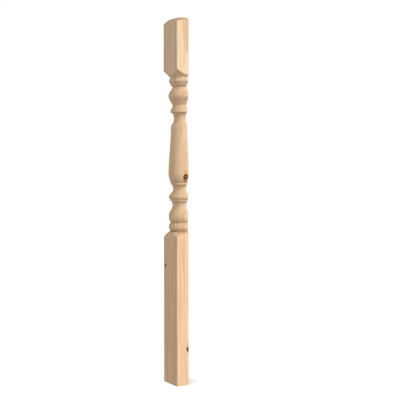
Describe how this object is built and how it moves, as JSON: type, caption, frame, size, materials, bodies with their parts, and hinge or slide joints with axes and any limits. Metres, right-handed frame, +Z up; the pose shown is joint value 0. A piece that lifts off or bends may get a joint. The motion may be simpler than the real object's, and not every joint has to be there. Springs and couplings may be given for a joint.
{
  "type": "half newel post",
  "caption": "Turned softwood half newel post with square blocks at foot and top, sawn flat at the back to stand against a wall at the end of a stair balustrade.",
  "frame": {"origin": "middle of the flat sawn foot, on the floor", "axes": "+Z up along the post, X across the wide front, -Y out of the front, +Y out of the flat sawn back"},
  "size_m": [0.09, 0.045, 1.2284],
  "materials": {
    "pine": "planed and sanded, unfinished"
  },
  "bodies": {
    "root": {"newel_post": "pine"}
  },
  "joints": []
}
